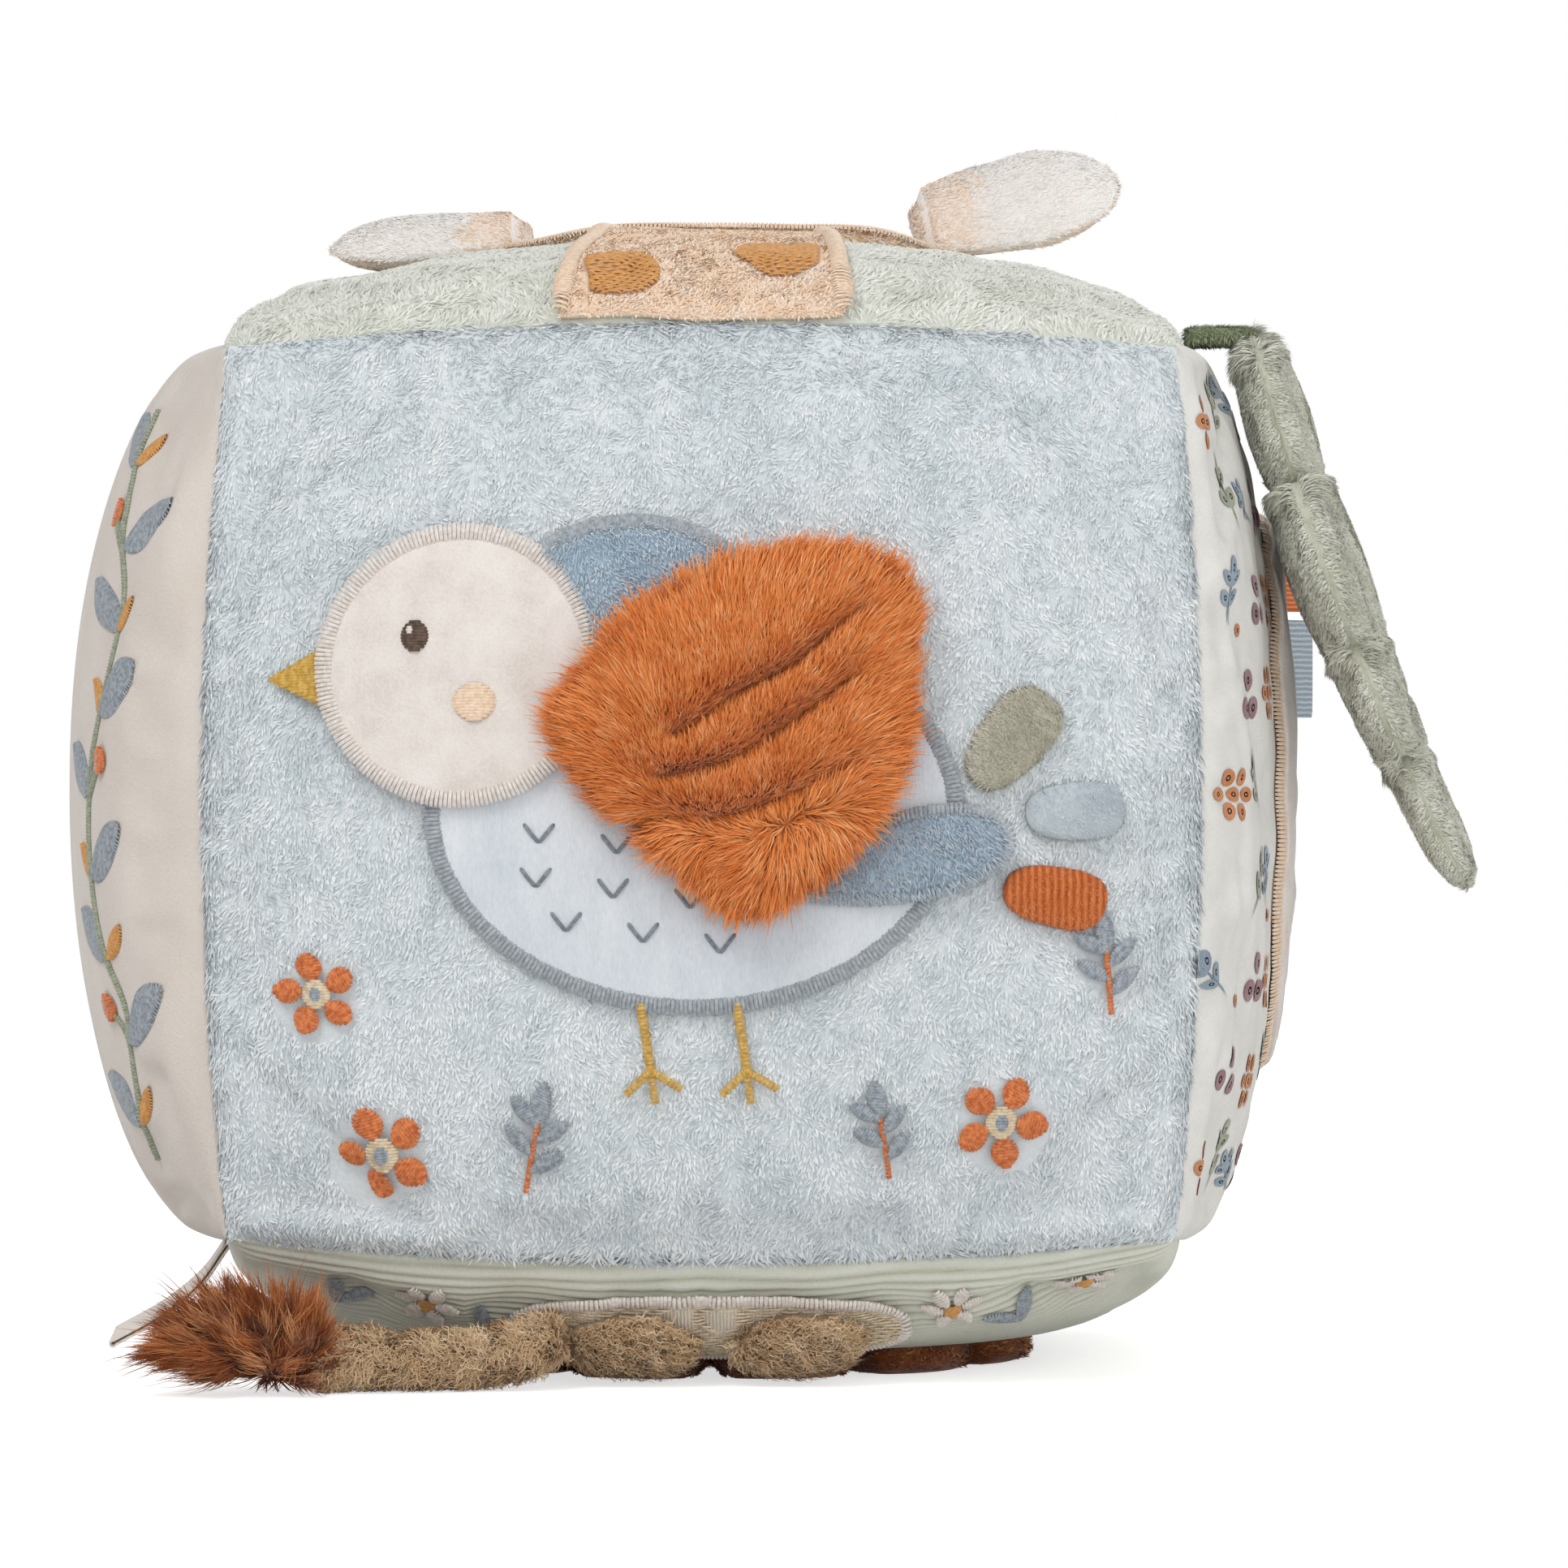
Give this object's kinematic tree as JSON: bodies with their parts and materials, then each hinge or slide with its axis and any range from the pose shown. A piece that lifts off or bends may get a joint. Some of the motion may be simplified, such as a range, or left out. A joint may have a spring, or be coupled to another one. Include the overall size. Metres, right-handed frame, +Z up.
{
  "type": "soft fabric activity block",
  "caption": "Stuffed cloth cube with crowned plush panels, a lift-up fur flap, cloth tags, stuffed ears, a hanging leaf, a tail and a rattle inside.",
  "frame": {"origin": "on the table, under the middle of the block, on the flat sole of the underside disc", "axes": "+Z up, the front panel with the fur flap faces -Y, the leaf hangs on +X"},
  "size_m": [0.2233, 0.1956, 0.1975],
  "materials": {
    "filling": "white polyester fibre filling",
    "rattle_plastic": "plain white plastic",
    "bead_plastic": "coloured plastic",
    "blue_plush": "short pale blue-grey plush",
    "cream_velour": "soft cream velour",
    "printed_muslin": "crinkled off-white muslin with a small print",
    "sage_plush": "sage plush",
    "sage_corduroy": "sage corduroy",
    "pale_velour": "pale velour with a satin-stitched edge",
    "blue_velour": "blue-grey velour with a satin-stitched edge",
    "orange_fur": "long orange fur",
    "khaki_velour": "khaki velour",
    "pale_tag_cloth": "pale brushed cloth",
    "orange_corduroy": "fine orange corduroy",
    "peach_plush": "peach plush with a satin-stitched edge",
    "ear_plush": "cream and peach plush",
    "green_velour": "green velour strap",
    "leaf_plush": "sage-grey plush",
    "orange_ribbon": "orange ribbon",
    "blue_ribbon": "ribbed pale blue ribbon",
    "cream_stitch": "cream stitched patch",
    "curly_pile": "beige curly pile",
    "brown_velour": "brown velour",
    "brown_fur": "long brown fur",
    "satin": "cream satin"
  },
  "bodies": {
    "block": {"filling_core": "filling", "filling_plug": "filling", "rattle_shell_lower": "rattle_plastic", "rattle_shell_upper": "rattle_plastic", "front_panel": "blue_plush", "back_panel": "cream_velour", "left_panel": "cream_velour", "right_panel": "printed_muslin", "top_panel": "sage_plush", "bottom_panel": "sage_corduroy", "body_patch": "pale_velour", "head_patch": "cream_velour", "back_patch": "blue_velour", "tail_patch": "blue_velour", "neck_patch": "peach_plush", "crown_patch": "peach_plush", "side_pad": "cream_velour", "chest_patch": "cream_stitch", "pad_left": "curly_pile", "pad_right": "curly_pile", "petal_ring": "brown_velour", "petal_centre": "curly_pile"},
    "flap": {"wing_flap": "orange_fur"},
    "khaki_tag": {"tail_tag_khaki": "khaki_velour"},
    "pale_tag": {"tail_tag_pale": "pale_tag_cloth"},
    "orange_tag": {"tail_tag_orange": "orange_corduroy"},
    "left_ear": {"ear_left": "ear_plush"},
    "right_ear": {"ear_right": "ear_plush"},
    "hanging_leaf": {"leaf_strap": "green_velour", "leaf": "leaf_plush"},
    "orange_ribbon": {"side_tag_orange": "orange_ribbon"},
    "blue_ribbon": {"side_tag_blue": "blue_ribbon"},
    "tail": {"tail_tube": "curly_pile", "tail_tuft": "brown_fur"},
    "satin_tag": {"seam_tag": "satin"},
    "beads": {"rattle_bead_1": "bead_plastic", "rattle_bead_2": "bead_plastic", "rattle_bead_3": "bead_plastic", "rattle_bead_4": "bead_plastic"}
  },
  "joints": [
    {"name": "flap_lift", "type": "hinge", "parent": "block", "child": "flap", "pos_m": [-0.01819, -0.09358, 0.11236], "axis": [-0.6649, 0, -0.7469], "range_deg": [0, 95]},
    {"name": "khaki_tag_lift", "type": "hinge", "parent": "block", "child": "khaki_tag", "pos_m": [0.04126, -0.0892, 0.09288], "axis": [0.766, 0, -0.6428], "range_deg": [0, 90], "stiffness_Nm_per_rad": 0.003},
    {"name": "pale_tag_lift", "type": "hinge", "parent": "block", "child": "pale_tag", "pos_m": [0.04868, -0.08808, 0.08836], "axis": [0.0523, 0, -0.9986], "range_deg": [0, 90], "stiffness_Nm_per_rad": 0.003},
    {"name": "orange_tag_lift", "type": "hinge", "parent": "block", "child": "orange_tag", "pos_m": [0.0455, -0.08835, 0.07751], "axis": [-0.2079, 0, -0.9781], "range_deg": [0, 90], "stiffness_Nm_per_rad": 0.003},
    {"name": "left_ear_lift", "type": "hinge", "parent": "block", "child": "left_ear", "pos_m": [-0.02948, 0.01819, 0.18406], "axis": [0, 1, 0], "range_deg": [0, 60]},
    {"name": "right_ear_lift", "type": "hinge", "parent": "block", "child": "right_ear", "pos_m": [0.03265, 0.01821, 0.18476], "axis": [0, -1, 0], "range_deg": [0, 60]},
    {"name": "leaf_swing", "type": "hinge", "parent": "block", "child": "hanging_leaf", "pos_m": [0.07659, -0.03247, 0.16363], "axis": [0, -1, 0], "range_deg": [0, 90]},
    {"name": "orange_ribbon_turn", "type": "hinge", "parent": "block", "child": "orange_ribbon", "pos_m": [0.08811, 0.03948, 0.1278], "axis": [0, 0, 1], "range_deg": [-30, 35], "stiffness_Nm_per_rad": 0.003},
    {"name": "blue_ribbon_turn", "type": "hinge", "parent": "block", "child": "blue_ribbon", "pos_m": [0.08951, 0.03979, 0.11231], "axis": [0, 0, 1], "range_deg": [-30, 35], "stiffness_Nm_per_rad": 0.003},
    {"name": "tail_sweep", "type": "hinge", "parent": "block", "child": "tail", "pos_m": [-0.02246, -0.07213, 0.00767], "axis": [0, 0, 1], "range_deg": [0, 60]},
    {"name": "satin_tag_lift", "type": "hinge", "parent": "block", "child": "satin_tag", "pos_m": [-0.0763, -0.02292, 0.01968], "axis": [0, 1, 0], "range_deg": [0, 50]},
    {"name": "bead_roll", "type": "slide", "parent": "block", "child": "beads", "axis": [0, 0, 1], "range_m": [0, 0.008]}
  ]
}
